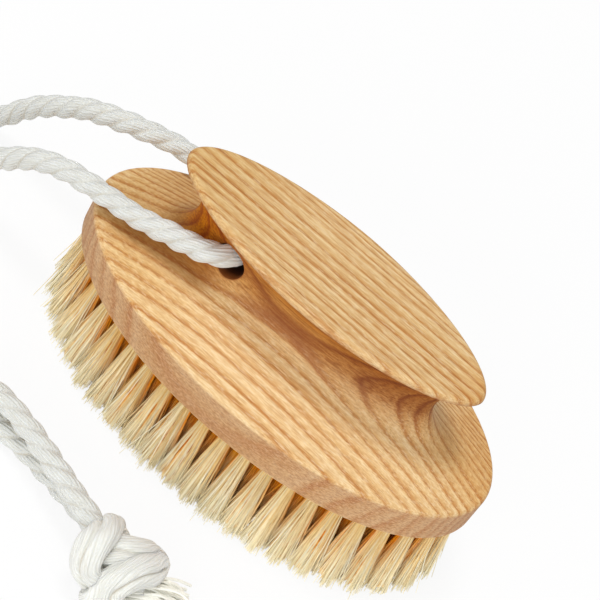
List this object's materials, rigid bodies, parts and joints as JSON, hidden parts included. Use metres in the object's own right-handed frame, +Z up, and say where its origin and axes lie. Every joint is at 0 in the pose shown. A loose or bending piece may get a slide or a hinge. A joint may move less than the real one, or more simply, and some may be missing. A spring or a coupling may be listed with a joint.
{
  "type": "body brush",
  "caption": "Oval wooden body brush with a waisted grip, rings of bristle tufts underneath and a knotted cotton rope loop through the neck to hang it by.",
  "frame": {"origin": "middle of the block, on the surface that the bristle tips stand on", "axes": "+X along the block, away from the rope; +Y across it, along the rope's bore; +Z up, out of the grip's top"},
  "size_m": [0.206, 0.1223, 0.0666],
  "materials": {
    "wood": "satin",
    "bristle": "semi-matte",
    "rope": "matte"
  },
  "bodies": {
    "root": {"wooden_block": "wood", "tufts_outer_ring": "bristle", "tufts_second_ring": "bristle", "tufts_third_ring": "bristle", "tufts_centre": "bristle", "rope_in_bore": "rope", "rope_front_lead": "rope", "rope_front_run": "rope", "rope_back_lead": "rope", "rope_back_run": "rope", "rope_knot": "rope", "rope_tail_near": "rope", "rope_tail_far": "rope"}
  },
  "joints": []
}
